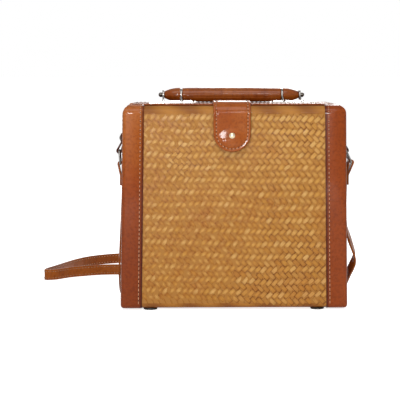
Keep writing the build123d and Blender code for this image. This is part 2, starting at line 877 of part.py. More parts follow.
pieces = {}
pieces.update(make_boards())
pieces.update(make_skins())
pieces.update(make_bands())
pieces.update(make_feet())
pieces.update(make_hinges())
pieces.update(make_lid())
pieces.update(make_tab())
pieces.update(make_plates())
pieces.update(make_bails())
pieces.update(make_grip())
chapes, right_rivet_hole = make_chapes()
pieces.update(chapes)
pieces["right_ring"] = make_ring(right_ring_tilt)
pieces["left_ring"] = across(make_ring(left_ring_tilt))
pieces.update(make_strap())

for name in ("back_rail", "back_weave"):
    pieces[name] -= hinge_seats()
for side, hole in (("right", right_rivet_hole), ("left", across(right_rivet_hole))):
    for name in (f"{side}_side_leather", f"{side}_board"):
        pieces[name] -= hole
for name, shape in pieces.items():
    save(name, shape)

print("lid hinge axis at y", round(hinge_y, 3), "z", round(hinge_z, 3))
print("bail axis at y", plate_y, "z", round(bail_pivot_z, 3))
print("rod at y", round(rod_y, 3), "z", round(rod_z, 3))
forward_rise = tab_thickness + grip_radius + lid_edge_gap - (bail_pivot_z - lid_top)
forward_angle = degrees(asin(forward_rise / bail_reach))
print("handle swings to", round(180 - bail_rest_angle - forward_angle, 1))
bar = side_plane.from_local_coords(Vector(ring_bar_offset, 0, 0))
print("ring bar at x", round(bar.X, 3), "z", round(bar.Z, 3))
print("lid top at z", round(lid_top, 3))
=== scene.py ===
from math import cos, exp, pi, radians, sin

import bmesh
import bpy
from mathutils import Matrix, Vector


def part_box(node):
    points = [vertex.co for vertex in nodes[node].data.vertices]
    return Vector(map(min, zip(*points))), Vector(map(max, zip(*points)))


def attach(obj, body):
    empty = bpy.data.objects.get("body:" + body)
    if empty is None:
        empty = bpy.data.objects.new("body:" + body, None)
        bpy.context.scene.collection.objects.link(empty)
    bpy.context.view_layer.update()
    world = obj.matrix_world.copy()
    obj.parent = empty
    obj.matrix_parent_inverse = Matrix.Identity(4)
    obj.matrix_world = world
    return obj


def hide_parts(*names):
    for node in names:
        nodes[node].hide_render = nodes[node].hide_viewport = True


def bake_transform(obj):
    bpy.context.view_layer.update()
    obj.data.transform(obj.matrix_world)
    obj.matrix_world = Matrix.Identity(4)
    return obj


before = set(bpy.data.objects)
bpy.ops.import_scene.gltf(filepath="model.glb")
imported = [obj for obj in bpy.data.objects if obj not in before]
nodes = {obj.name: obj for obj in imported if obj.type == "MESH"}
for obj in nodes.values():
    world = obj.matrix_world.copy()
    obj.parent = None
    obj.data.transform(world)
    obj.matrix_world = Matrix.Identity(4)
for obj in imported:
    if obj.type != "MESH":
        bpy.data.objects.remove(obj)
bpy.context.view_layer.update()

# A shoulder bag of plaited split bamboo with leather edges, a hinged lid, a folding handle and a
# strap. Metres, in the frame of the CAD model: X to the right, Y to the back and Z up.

MM = 0.001


# The case inside: thin boards of plain wood, nailed to a rim of four rails, with a cotton lining
# glued to the boards. The wood only shows at the rim when the lid is up, and has been sanded and
# left without varnish.

wood_light = "#B98F5E"
wood_dark = "#8F6537"
ring_spacing = 2.4 * MM
along_grain = 0.15
lining_colour = "#A58B62"
lining_shade = "#86704C"
thread_spacing = 5.655 * MM

# The bands that a wave texture of scale 1 draws to one unit of length
wave_turns = 20 / (2 * pi)


def linear(colour):
    """An sRGB colour such as #AABBCC as linear red, green, blue and alpha."""
    parts = [int(colour[i : i + 2], 16) / 255 for i in (1, 3, 5)]
    return (*(c / 12.92 if c <= 0.04045 else ((c + 0.055) / 1.055) ** 2.4 for c in parts), 1.0)


def add_node(tree, kind, inputs=(), out=0, stops=(), **settings):
    """A new node: its settings, its inputs as numbers or other outputs, and its colour stops if any."""
    node = tree.nodes.new(kind)
    for name, setting in settings.items():
        setattr(node, name, setting)
    for key, value in inputs.items() if isinstance(inputs, dict) else enumerate(inputs):
        if isinstance(value, bpy.types.NodeSocket):
            tree.links.new(value, node.inputs[key])
        else:
            node.inputs[key].default_value = value
    if stops:
        elements = node.color_ramp.elements
        while len(elements) < len(stops):
            elements.new(0.5)
        for element, (position, colour) in zip(elements, stops):
            element.position = position
            element.color = linear(colour)
    return node.outputs[out]


def new_finish(name, **fixed):
    """A material with its shader, whose fixed values are set on the shader's own sockets."""
    material = bpy.data.materials.new(name)
    material.use_nodes = True
    tree = material.node_tree
    shader = tree.nodes["Principled BSDF"].inputs
    for socket, value in fixed.items():
        shader[socket.replace("_", " ")].default_value = value
    return material, tree, shader, add_node(tree, "ShaderNodeTexCoord", out="Object")


def dress(name, material):
    """Gives a piece that stays as it was built its finish."""
    piece = nodes[name]
    if not piece.material_slots:
        piece.data.materials.append(material)
    for slot in piece.material_slots:
        slot.material = material


def rail_wood():
    """Plain sanded softwood: warm, matt, with growth rings that run along the rail."""
    material, tree, shader, place = new_finish("sanded_softwood", Roughness=0.6)
    grain = add_node(tree, "ShaderNodeMapping", {"Vector": place, "Scale": (along_grain, 1, 1)})
    rings = add_node(
        tree,
        "ShaderNodeTexNoise",
        {"Vector": grain, "Scale": 1 / ring_spacing, "Detail": 3, "Distortion": 0.6},
    )
    colour = add_node(tree, "ShaderNodeValToRGB", [rings], stops=[(0.35, wood_dark), (0.6, wood_light)])
    tree.links.new(colour, shader["Base Color"])
    bump = add_node(tree, "ShaderNodeBump", {"Height": rings, "Strength": 0.3, "Distance": 0.1 * MM})
    tree.links.new(bump, shader["Normal"])
    return material


def lining_cotton():
    """Plain cotton: matt, with crossing threads, drawn far coarser than real ones so that they show."""
    material, tree, shader, place = new_finish("plain_cotton", Roughness=0.95, Sheen_Weight=0.15)
    warp, weft = [
        add_node(
            tree,
            "ShaderNodeTexWave",
            {"Vector": place, "Scale": 1 / (thread_spacing * wave_turns), "Distortion": 0.4, "Detail": 1},
            out="Fac",
            bands_direction=direction,
        )
        for direction in ("X", "Z")
    ]
    both = add_node(tree, "ShaderNodeMath", [warp, weft], operation="MULTIPLY")
    colour = add_node(tree, "ShaderNodeValToRGB", [both], stops=[(0.0, lining_shade), (0.8, lining_colour)])
    tree.links.new(colour, shader["Base Color"])
    bump = add_node(tree, "ShaderNodeBump", {"Height": both, "Strength": 0.4, "Distance": 0.2 * MM})
    tree.links.new(bump, shader["Normal"])
    return material


softwood = rail_wood()
for side in ("front", "back", "left", "right"):
    dress(f"{side}_board", softwood)
    dress(f"{side}_rail", softwood)
dress("base_board", softwood)
dress("lid_board", softwood)
dress("lining", lining_cotton())


# The front and the back: split bamboo, dyed honey brown and lacquered, plaited on the slant in a
# twill of over two and under two. Each float that lies on top is a bowed strip whose ends dip under
# its neighbours. The sheet is bent smooth over the shoulders.

strip_pitch = 6.08 * MM
strip_row = 6.33 * MM
strip_width = 4.4 * MM
strip_float = 9.4 * MM
strip_crown = 0.17 * MM
strip_sink = 0.06 * MM
strip_columns = 34
strip_rows = 30
left_strip_numbers = 500.0
tilt_spread = Vector((0.045, 0.03, 0.07))
least_scale = (0.88, 0.94, 0.6)
most_scale = (1.06, 1.04, 1.25)
pressed_reach = 50.0 * MM
pressed_share = 0.3
drift_length = 76.923 * MM
plait_middle = 102.2 * MM
plait_wander = 3.0 * MM
plait_slope = 0.02
plait_half_height = 95.0 * MM
weave_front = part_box("front_board")[0][1] - 1.4 * MM
honey = "#C08C3E"
straw = "#CB9F5C"
amber = "#B27C36"
rust = "#A35A18"
# Painted shade: the sheet under the plait is dark, standing for the shade in the gaps between the floats
painted_gap_shade = "#9C6A2C"
# The shoulder colours are darker than the plait: painted shade on the curved shoulder
shoulder_brown = "#915C20"
shoulder_dark = "#804C1B"
shoulder_light = "#A06A2A"
pressed_spacing = 27.646 * MM
patch_size = 50.0 * MM
straw_per_metre_up = 6.0
straw_per_metre_right = -0.8
straw_start = -0.35
worn_size = 76.923 * MM
worn_per_metre_right = 1.5
worn_range = (0.4, 0.72)
crisp_shares = (0.1, 1.0)
soft_shares = (0.9, 0.3)
fibre_stretch = (0.7, 6, 60)


def split_bamboo():
    """Lacquered bamboo: satin and warm, each strip its own tone, with fine fibres along it."""
    material, tree, shader, place = new_finish(
        "lacquered_split_bamboo", Coat_Weight=0.05, Coat_Roughness=0.25, Specular_IOR_Level=0.15
    )
    tone, lean_left, across, along = [
        add_node(tree, "ShaderNodeAttribute", out="Fac", attribute_name=name)
        for name in ("strip_tone", "strip_leans_left", "strip_across", "strip_along")
    ]
    spread = add_node(tree, "ShaderNodeSeparateXYZ", [place]).node.outputs
    across = add_node(tree, "ShaderNodeMath", [across], operation="ABSOLUTE")
    from_end = add_node(tree, "ShaderNodeMath", [along], operation="ABSOLUTE")
    colour = add_node(
        tree, "ShaderNodeValToRGB", [tone], stops=[(0.0, amber), (0.45, honey), (0.8, straw), (1.0, honey)]
    )

    # Redder patches, and straw colour towards the upper left
    patches = add_node(tree, "ShaderNodeTexNoise", {"Vector": place, "Scale": 1 / patch_size, "Detail": 2})
    reddish = add_node(tree, "ShaderNodeValToRGB", [patches], stops=[(0.52, "#000000"), (0.68, "#909090")])
    rise = [spread["Z"], straw_per_metre_up, straw_start]
    rise = add_node(tree, "ShaderNodeMath", rise, operation="MULTIPLY_ADD")
    paler = [spread["X"], straw_per_metre_right, rise]
    paler = add_node(tree, "ShaderNodeMath", paler, operation="MULTIPLY_ADD")
    paler = add_node(tree, "ShaderNodeValToRGB", [paler], stops=[(0.2, "#000000"), (1.0, "#A0A0A0")])
    for mask, tint in ((reddish, rust), (paler, straw)):
        colour = add_node(
            tree, "ShaderNodeMix", {0: mask, 6: colour, 7: linear(tint)}, out=2, data_type="RGBA"
        )

    # Fibres along each strip; painted shade on the strips that lean left, as light falls from the upper
    # left; and painted shade at the edges and ends of each float, where it dips under its neighbours,
    # which leaves its crown lighter: fine dark lines at the right and soft shades where the plait is
    # worn flat at the left
    fibre_place = add_node(tree, "ShaderNodeCombineXYZ", [along, across, tone])
    fibre_place = add_node(tree, "ShaderNodeMapping", {"Vector": fibre_place, "Scale": fibre_stretch})
    fibres = add_node(tree, "ShaderNodeTexNoise", {"Vector": fibre_place, "Scale": 1.5, "Detail": 3})
    worn = add_node(tree, "ShaderNodeTexNoise", {"Vector": place, "Scale": 1 / worn_size, "Detail": 1})
    worn = [spread["X"], worn_per_metre_right, worn]
    worn = add_node(tree, "ShaderNodeMath", worn, operation="MULTIPLY_ADD")
    crisp = add_node(tree, "ShaderNodeMapRange", [worn, *worn_range, *crisp_shares])
    soft = add_node(tree, "ShaderNodeMapRange", [worn, *worn_range, *soft_shares])
    stripes = (
        (0.7, fibres, [(0.25, "#B8B8B8"), (0.6, "#FFFFFF")]),
        # Painted shade on the strips that lean left
        (1.0, lean_left, [(0.0, "#FFFFFF"), (1.0, "#F2EAD9")]),
        # Painted shade at the edges and ends of each float, soft where the plait is worn flat
        (soft, across, [(0.1, "#FFFFFF"), (0.9, "#E4D4B8")]),
        (soft, from_end, [(0.1, "#FFFFFF"), (0.75, "#E0CCAA")]),
        # The same painted shade as fine dark lines where the plait is crisp
        (crisp, across, [(0.72, "#FFFFFF"), (1.0, "#A27E52")]),
        (crisp, from_end, [(0.6, "#FFFFFF"), (0.95, "#A8845A")]),
    )
    for share, mask, stops in stripes:
        shade = add_node(tree, "ShaderNodeValToRGB", [mask], stops=stops)
        colour = add_node(
            tree,
            "ShaderNodeMix",
            {0: share, 6: colour, 7: shade},
            out=2,
            data_type="RGBA",
            blend_type="MULTIPLY",
        )
    tree.links.new(colour, shader["Base Color"])
    rough = add_node(tree, "ShaderNodeValToRGB", [fibres], stops=[(0.2, "#B0B0B0"), (0.8, "#909090")])
    tree.links.new(rough, shader["Roughness"])
    bump = add_node(tree, "ShaderNodeBump", {"Height": fibres, "Strength": 0.25, "Distance": 0.1 * MM})
    tree.links.new(bump, shader["Normal"])
    return material


def bent_bamboo():
    """The same sheet where it is pressed smooth over the shoulders and painted darker there as shade, and
    painted dark between the strips as the shade in the gaps.
    """
    material, tree, shader, place = new_finish(
        "pressed_split_bamboo", Roughness=0.5, Coat_Weight=0.06, Specular_IOR_Level=0.15
    )
    height = add_node(tree, "ShaderNodeSeparateXYZ", [place], out="Z")
    slant = add_node(tree, "ShaderNodeMapping", {"Vector": place, "Rotation": (0, radians(45), 0)})
    strips = add_node(
        tree,
        "ShaderNodeTexWave",
        {"Vector": slant, "Scale": 1 / (pressed_spacing * wave_turns), "Distortion": 1.5, "Detail": 2},
        out="Fac",
        bands_direction="X",
    )
    smooth = add_node(
        tree,
        "ShaderNodeValToRGB",
        [strips],
        stops=[(0.0, shoulder_dark), (0.5, shoulder_brown), (1.0, shoulder_light)],
    )
    in_plait = add_node(
        tree, "ShaderNodeMath", [height, plait_middle, plait_half_height], operation="COMPARE"
    )
    # Painted gap shade inside the plait, and the shoulder colours, painted darker as shade, outside it
    colour = add_node(
        tree, "ShaderNodeMix", {0: in_plait, 6: smooth, 7: linear(painted_gap_shade)}, out=2, data_type="RGBA"
    )
    tree.links.new(colour, shader["Base Color"])
    bump = add_node(tree, "ShaderNodeBump", {"Height": strips, "Strength": 0.15, "Distance": 0.1 * MM})
    tree.links.new(bump, shader["Normal"])
    return material


def new_tree(name, **sizes):
    """An empty geometry tree with one named input for each size."""
    tree = bpy.data.node_groups.new(name, "GeometryNodeTree")
    tree.interface.new_socket("Geometry", in_out="INPUT", socket_type="NodeSocketGeometry")
    for size, value in sizes.items():
        kind = "Int" if isinstance(value, int) else "Float"
        tree.interface.new_socket(size, in_out="INPUT", socket_type=f"NodeSocket{kind}")
    tree.interface.new_socket("Material", in_out="INPUT", socket_type="NodeSocketMaterial")
    tree.interface.new_socket("Geometry", in_out="OUTPUT", socket_type="NodeSocketGeometry")
    return tree, tree.nodes.new("NodeGroupInput").outputs, tree.nodes.new("NodeGroupOutput").inputs[0]


def grow(name, data, tree, material, **sizes):
    """The mesh that a geometry tree makes from an object's data, as a finished piece."""
    source = bpy.data.objects.new(name + "_source", data)
    bpy.context.scene.collection.objects.link(source)
    modifier = source.modifiers.new("tree", "NODES")
    modifier.node_group = tree
    for socket in tree.interface.items_tree:
        if socket.in_out == "INPUT" and socket.name in sizes:
            modifier[socket.identifier] = sizes[socket.name]
        if socket.in_out == "INPUT" and socket.name == "Material":
            modifier[socket.identifier] = material
    depsgraph = bpy.context.evaluated_depsgraph_get()
    mesh = bpy.data.meshes.new_from_object(source.evaluated_get(depsgraph))
    mesh.name = name
    piece = bpy.data.objects.new(name, mesh)
    bpy.context.scene.collection.objects.link(piece)
    bpy.data.objects.remove(source)
    return piece


def finish_tree(tree, laid, material, result):
    """Ends a tree: the instances made real, shaded smooth and given their material."""
    real = add_node(tree, "GeometryNodeRealizeInstances", [laid])
    smooth = add_node(tree, "GeometryNodeSetShadeSmooth", [real])
    painted = add_node(tree, "GeometryNodeSetMaterial", {"Geometry": smooth, "Material": material})
    tree.links.new(painted, result)


plait_sizes = {
    "Pitch": strip_pitch,
    "Row": strip_row,
    "Width": strip_width,
    "Float": strip_float,
    "Crown": strip_crown,
    "Wander": plait_wander,
    "Slope": plait_slope,
    "Columns": strip_columns,
    "Rows": strip_rows,
    "Seed": 7,
}


def plait_tree():
    """Rows of floats that lean left and right in turn, as a slanting twill shows them."""
    tree, sizes, result = new_tree("slanting_twill", **plait_sizes)
    maths = "ShaderNodeMath"
    position = add_node(tree, "GeometryNodeInputPosition")
    point = add_node(tree, "ShaderNodeSeparateXYZ", [position]).node.outputs

    # One float: a strip bowed along its length, with its edges rolled down
    strip = add_node(
        tree,
        "GeometryNodeMeshGrid",
        {"Size X": sizes["Float"], "Size Y": sizes["Width"], "Vertices X": 9, "Vertices Y": 5},
    )
    places = []
    for name, axis, size in (("strip_along", "X", "Float"), ("strip_across", "Y", "Width")):
        half = add_node(tree, maths, [sizes[size], 0.5], operation="MULTIPLY")
        places.append(add_node(tree, maths, [point[axis], half], operation="DIVIDE"))
        strip = add_node(
            tree,
            "GeometryNodeStoreNamedAttribute",
            {"Geometry": strip, "Name": name, "Value": places[-1]},
            data_type="FLOAT",
            domain="POINT",
        )
    rounds = []
    for place, power, share in ((places[0], 4.0, -1.0), (places[1], 7.0, -0.5)):
        size = add_node(tree, maths, [place], operation="ABSOLUTE")
        raised = add_node(tree, maths, [size, power], operation="POWER")
        rounds.append(add_node(tree, maths, [raised, share, 1.0], operation="MULTIPLY_ADD"))
    lift = add_node(tree, maths, rounds, operation="MULTIPLY")
    lift = add_node(tree, maths, [lift, sizes["Crown"], -strip_sink], operation="MULTIPLY_ADD")
    lift = add_node(tree, "ShaderNodeCombineXYZ", [0.0, 0.0, lift])
    strip = add_node(tree, "GeometryNodeSetPosition", {"Geometry": strip, "Offset": lift})

    # The field of points that carry one float each, with each point's column, row and lean
    spans = {}
    for count, step in (("Columns", "Pitch"), ("Rows", "Row")):
        spare = add_node(tree, maths, [sizes[count], 1.0], operation="SUBTRACT")
        spans[step] = add_node(tree, maths, [spare, sizes[step]], operation="MULTIPLY")
    field = add_node(
        tree, "GeometryNodeMeshGrid", [spans["Pitch"], spans["Row"], sizes["Columns"], sizes["Rows"]]
    )
    numbers = []
    for axis, step in (("X", "Pitch"), ("Y", "Row")):
        from_start = add_node(tree, maths, [spans[step], 0.5, point[axis]], operation="MULTIPLY_ADD")
        steps = add_node(tree, maths, [from_start, sizes[step]], operation="DIVIDE")
        numbers.append(add_node(tree, maths, [steps], operation="ROUND"))
    column, row = numbers
    right = add_node(tree, maths, [row, 2.0], operation="MODULO")
    left = add_node(tree, maths, [1.0, right], operation="SUBTRACT")
    lean = add_node(tree, maths, [right, 2.0, -1.0], operation="MULTIPLY_ADD")

    # A strip shows as a float in every second row along its slant, so those floats share a tone,
    # and the strips that lean left have numbers of their own
    slanted = add_node(tree, maths, [row, lean], operation="MULTIPLY")
    number = add_node(tree, maths, [column, slanted], operation="SUBTRACT")
    number = add_node(tree, maths, [left, left_strip_numbers, number], operation="MULTIPLY_ADD")
    shared = add_node(
        tree, "FunctionNodeRandomValue", {"ID": number, "Seed": sizes["Seed"]}, out=1, data_type="FLOAT"
    )
    own = add_node(tree, "FunctionNodeRandomValue", {"Seed": sizes["Seed"]}, out=1, data_type="FLOAT")
    own = add_node(tree, maths, [own, 0.5], operation="MULTIPLY")
    tone = add_node(tree, maths, [shared, 0.5, own], operation="MULTIPLY_ADD")
    for name, value in (("strip_tone", tone), ("strip_leans_left", left), ("strip_lean", lean)):
        field = add_node(
            tree,
            "GeometryNodeStoreNamedAttribute",
            {"Geometry": field, "Name": name, "Value": value},
            data_type="FLOAT",
            domain="POINT",
        )

    # Hand plaiting wanders: the rows drift and slope a little, and no two floats lie quite the same
    drift = {"Vector": position, "Scale": 1 / drift_length, "Detail": 1}
    drift = add_node(tree, "ShaderNodeTexNoise", drift, out="Color")
    drift = add_node(tree, "ShaderNodeVectorMath", [drift, (0.5, 0.5, 0.5)], operation="SUBTRACT")
    reach = add_node(tree, maths, [sizes["Wander"], 4.0], operation="MULTIPLY")
    drift = add_node(tree, "ShaderNodeVectorMath", {0: drift, "Scale": reach}, operation="SCALE")
    drift = add_node(tree, "ShaderNodeVectorMath", [drift, (1.0, 1.0, 0.0)], operation="MULTIPLY")
    half_step = add_node(tree, maths, [right, 0.5], operation="SUBTRACT")
    half_step = add_node(tree, maths, [half_step, sizes["Pitch"]], operation="MULTIPLY")
    half_step = add_node(tree, maths, [half_step, 0.5], operation="MULTIPLY")
    fall = add_node(tree, maths, [point["X"], sizes["Slope"]], operation="MULTIPLY")
    fall = add_node(tree, maths, [fall, -1.0], operation="MULTIPLY")
    step = add_node(tree, "ShaderNodeCombineXYZ", [half_step, fall, 0.0])
    shift = add_node(tree, "ShaderNodeVectorMath", [drift, step], operation="ADD")
    field = add_node(tree, "GeometryNodeSetPosition", {"Geometry": field, "Offset": shift})
    stored = add_node(
        tree, "GeometryNodeInputNamedAttribute", {"Name": "strip_lean"}, data_type="FLOAT"
    )
    tilt = add_node(
        tree,
        "FunctionNodeRandomValue",
        {0: -tilt_spread, 1: tilt_spread, "Seed": sizes["Seed"]},
        data_type="FLOAT_VECTOR",
    )
    angle = add_node(tree, maths, [stored, pi / 4], operation="MULTIPLY")
    turn = add_node(tree, "ShaderNodeCombineXYZ", [0.0, 0.0, angle])
    turn = add_node(tree, "ShaderNodeVectorMath", [turn, tilt], operation="ADD")
    scale = add_node(
        tree,
        "FunctionNodeRandomValue",
        {0: least_scale, 1: most_scale, "Seed": sizes["Seed"]},
        data_type="FLOAT_VECTOR",
    )
    pressed = [point["X"], -pressed_reach, pressed_reach, pressed_share, 1.0]
    pressed = add_node(tree, "ShaderNodeMapRange", pressed)
    pressed = add_node(tree, "ShaderNodeCombineXYZ", [1.0, 1.0, pressed])
    scale = add_node(tree, "ShaderNodeVectorMath", [scale, pressed], operation="MULTIPLY")
    laid = add_node(
        tree,
        "GeometryNodeInstanceOnPoints",
        {"Points": field, "Instance": strip, "Rotation": turn, "Scale": scale},
    )
    upright = add_node(tree, "GeometryNodeTransform", {"Geometry": laid, "Rotation": (pi / 2, 0, 0)})
    finish_tree(tree, upright, sizes["Material"], result)
    return tree


bamboo = split_bamboo()
pressed_bamboo = bent_bamboo()
twill = plait_tree()
for side, facing in (("front", 1), ("back", -1)):
    dress(f"{side}_weave", pressed_bamboo)
    plait = grow(f"{side}_plait", bpy.data.meshes.new(f"{side}_plait_source"), twill, bamboo, **plait_sizes)
    for vertex in plait.data.vertices:
        x, y, z = vertex.co
        vertex.co = (x * facing, (y + weave_front) * facing, z + plait_middle)
    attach(plait, "case")


# The leather: vegetable-tanned cowhide, dyed chestnut and polished. One band is folded round each
# upright corner and over the shoulder, glued and sewn along both edges with a pale linen thread.
# The sides and the base are plain panels of the same hide.

chestnut_darkest = "#7A3207"
chestnut_deep = "#85390A"
chestnut = "#924812"
chestnut_pale = "#9E5827"
pore_spacing = 0.7 * MM
cloud_size = 38.46 * MM
speck_size = 2.381 * MM
fold_size = 11.111 * MM
blotch_size = 3.333 * MM
# Painted light on the bands: lighter towards the top at the left, darker low down, even at the right
painted_light_half = 50.0 * MM
painted_light_heights = (30.0 * MM, 195.0 * MM)
painted_light_tones = (-0.42, 0.5)
right_tone = 0.2
thread_colour = "#C4936E"
# Painted shade in the awl holes between the stitches
hole_shade_colour = "#35160A"
stitch_pitch = 4.3 * MM
stitch_length = 3.3 * MM
stitch_radius = 0.42 * MM
hole_length = 3.2
hole_width = 1.25
weld_distance = 0.002 * MM
band_seam_inset = 3.6 * MM
band_front_width = 21.5 * MM
band_side_width = 16.0 * MM
leather_lift = 0.1 * MM
burnish_width = 3.2 * MM
band_low, band_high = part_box("front_right_band")
half_base = band_high[0]
front_face = band_low[1]
case_top = band_high[2]
case_foot = band_low[2]
case_lean = 3.0 / 205.0
shoulder = 9.2 * MM
end_shoulder = 10.0 * MM
seam_start = 8.0 * MM
upright_steps = 24
shoulder_steps = 8


def cowhide(name, deep, middle, pale, gloss=0.2, clearness=0.06, burnished_and_painted_light=False):
    """Vegetable-tanned cowhide: cloudy in tone, with fine pores and as much polish as gloss gives."""
    material, tree, shader, place = new_finish(
        name, Coat_Weight=gloss, Coat_Roughness=clearness, Specular_IOR_Level=0.05
    )
    spread = add_node(tree, "ShaderNodeSeparateXYZ", [place]).node.outputs
    clouds = add_node(
        tree, "ShaderNodeTexNoise", {"Vector": place, "Scale": 1 / cloud_size, "Detail": 5, "Roughness": 0.6}
    )
    if burnished_and_painted_light:
        # Painted light: the bands on the left are painted lighter the higher they are and darker low
        # down, as light falls on them from the upper left, and those on the right at one even tone
        left = add_node(tree, "ShaderNodeMapRange", [spread["X"], painted_light_half, -painted_light_half, 0.0, 1.0])
        rise = add_node(tree, "ShaderNodeMapRange", [spread["Z"], *painted_light_heights, *painted_light_tones])
        painted_light = add_node(tree, "ShaderNodeMath", [left, rise, right_tone], operation="MULTIPLY_ADD")
        tone = add_node(tree, "ShaderNodeMath", [clouds, 0.5, painted_light], operation="MULTIPLY_ADD")
        stops = [(0.15, chestnut_darkest), (0.5, deep), (0.75, middle), (1.0, pale)]
    else:
        tone = clouds
        stops = [(0.3, deep), (0.5, middle), (0.72, pale)]
    colour = add_node(tree, "ShaderNodeValToRGB", [tone], stops=stops)
    speck = add_node(tree, "ShaderNodeTexNoise", {"Vector": place, "Scale": 1 / speck_size, "Detail": 2})
    shades = [
        (0.6, add_node(tree, "ShaderNodeValToRGB", [speck], stops=[(0.3, "#C8C0BA"), (0.55, "#FFFFFF")]))
    ]
    if burnished_and_painted_light:
        # The cut edge of a band is darker from burnishing, from the plait to the seam
        away = add_node(tree, "ShaderNodeMath", [spread["X"]], operation="ABSOLUTE")
        away = add_node(tree, "ShaderNodeMath", [spread["Z"], case_lean, away], operation="MULTIPLY_ADD")
        start = half_base - band_front_width + case_foot * case_lean
        edge = add_node(tree, "ShaderNodeMapRange", [away, start, start + burnish_width, 0.0, 1.0])
        shades.append(
            (1.0, add_node(tree, "ShaderNodeValToRGB", [edge], stops=[(0.35, "#A08C80"), (1.0, "#FFFFFF")]))
        )
    for share, shade in shades:
        colour = add_node(
            tree,
            "ShaderNodeMix",
            {0: share, 6: colour, 7: shade},
            out=2,
            data_type="RGBA",
            blend_type="MULTIPLY",
        )
    tree.links.new(colour, shader["Base Color"])
    rough = add_node(tree, "ShaderNodeValToRGB", [clouds], stops=[(0.3, "#808080"), (0.7, "#A0A0A0")])
    tree.links.new(rough, shader["Roughness"])
    pores = add_node(tree, "ShaderNodeTexVoronoi", {"Vector": place, "Scale": 1 / pore_spacing})
    folds = add_node(
        tree, "ShaderNodeTexNoise", {"Vector": place, "Scale": 1 / fold_size, "Detail": 3, "Distortion": 0.4}
    )
    bump = add_node(tree, "ShaderNodeBump", {"Height": pores, "Strength": 0.1, "Distance": 0.06 * MM})
    bump = add_node(
        tree, "ShaderNodeBump", {"Height": folds, "Strength": 0.1, "Distance": 0.3 * MM, "Normal": bump}
    )
    tree.links.new(bump, shader["Normal"])
    return material


def new_piece(name, mesh, material, replaced):
    """A piece from a mesh, shaded smooth, that stands for one built piece."""
    mesh.materials.clear()
    mesh.materials.append(material)
    for face in mesh.polygons:
        face.material_index = 0
        face.use_smooth = True
    piece = bpy.data.objects.new(name, mesh)
    bpy.context.scene.collection.objects.link(piece)
    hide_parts(replaced)
    return piece


def smooth_copy(name, material, edge=0.0, sharp=38):
    """A finished skin over a built piece: its corners eased by edge and its curves shaded smooth."""
    skin = bmesh.new()
    skin.from_mesh(nodes[name].data)
    bmesh.ops.remove_doubles(skin, verts=skin.verts, dist=weld_distance)
    bmesh.ops.dissolve_degenerate(skin, edges=skin.edges, dist=weld_distance / 2)
    if edge:
        bmesh.ops.dissolve_limit(skin, angle_limit=radians(0.6), verts=skin.verts, edges=skin.edges)
        corners = [e for e in skin.edges if len(e.link_faces) == 2 and e.calc_face_angle(0) > radians(sharp)]
        bmesh.ops.bevel(
            skin, geom=corners, offset=edge, segments=2, profile=0.5, affect="EDGES", clamp_overlap=True
        )
    mesh = bpy.data.meshes.new(name + "_skin")
    skin.to_mesh(mesh)
    skin.free()
    piece = new_piece(name + "_skin", mesh, material, name)
    mesh.set_sharp_from_angle(angle=radians(sharp))
    return piece


def even_finish(name, colour, **fixed):
    """A finish of one colour, faintly uneven, for small pieces."""
    material, tree, shader, place = new_finish(name, **fixed)
    clouds = add_node(tree, "ShaderNodeTexNoise", {"Vector": place, "Scale": 1 / blotch_size, "Detail": 3})
    shade = add_node(tree, "ShaderNodeValToRGB", [clouds], stops=[(0.3, "#C4C4C4"), (0.6, "#FFFFFF")])
    colour = add_node(
        tree,
        "ShaderNodeMix",
        {0: 0.5, 6: linear(colour), 7: shade},
        out=2,
        data_type="RGBA",
        blend_type="MULTIPLY",
    )
    tree.links.new(colour, shader["Base Color"])
    bump = add_node(tree, "ShaderNodeBump", {"Height": clouds, "Strength": 0.1, "Distance": 0.05 * MM})
    tree.links.new(bump, shader["Normal"])
    return material


def seam_tree():
    """Beads along a line at an even pitch, longer than they are wide: stitches, or the painted shade in their
    holes.
    """
    tree, sizes, result = new_tree(
        "row_of_stitches", Pitch=stitch_pitch, Length=stitch_length, Radius=stitch_radius
    )
    even = add_node(
        tree,
        "GeometryNodeResampleCurve",
        {"Curve": sizes["Geometry"], "Length": sizes["Pitch"]},
        mode="LENGTH",
    )
    points = add_node(tree, "GeometryNodeCurveToPoints", {"Curve": even}, mode="EVALUATED").node.outputs
    bead = add_node(tree, "GeometryNodeMeshUVSphere", {"Segments": 6, "Rings": 4, "Radius": 1.0})
    half = add_node(tree, "ShaderNodeMath", [sizes["Length"], 0.5], operation="MULTIPLY")
    scale = add_node(tree, "ShaderNodeCombineXYZ", [sizes["Radius"], sizes["Radius"], half])
    turn = add_node(tree, "FunctionNodeAlignRotationToVector", {"Vector": points["Tangent"]}, axis="Z")
    sewn = add_node(
        tree,
        "GeometryNodeInstanceOnPoints",
        {"Points": points["Points"], "Instance": bead, "Rotation": turn, "Scale": scale},
    )
    finish_tree(tree, sewn, sizes["Material"], result)
    return tree


def seam(name, lines, body, pitch=stitch_pitch, length=stitch_length, radius=stitch_radius):
    """A row of stitches along each line of points, with a dark bead between each two: painted shade in the
    awl's hole.
    """
    for kind, material, offset, size, across in (
        ("stitches", linen_thread, 0.0, length, radius),
        ("stitch_hole_shades", awl_hole_shade, 0.5, radius * hole_length, radius * hole_width),
    ):
        curve = bpy.data.curves.new(f"{name}_{kind}", "CURVE")
        curve.dimensions = "3D"
        for points in lines:
            start = Vector(points[0])
            start += (Vector(points[1]) - start).normalized() * pitch * offset
            spline = curve.splines.new("POLY")
            spline.points.add(len(points) - 1)
            for point, place in zip(spline.points, [start, *points[1:]]):
                point.co = (*place, 1)
        sizes = {"Pitch": pitch, "Length": size, "Radius": across}
        piece = grow(f"{name}_{kind}", curve, stitch_rows, material, **sizes)
        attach(piece, body)


def half_width(z):
    """Half the case's width over its bands, at height z."""
    return half_base - (z - case_foot) * case_lean


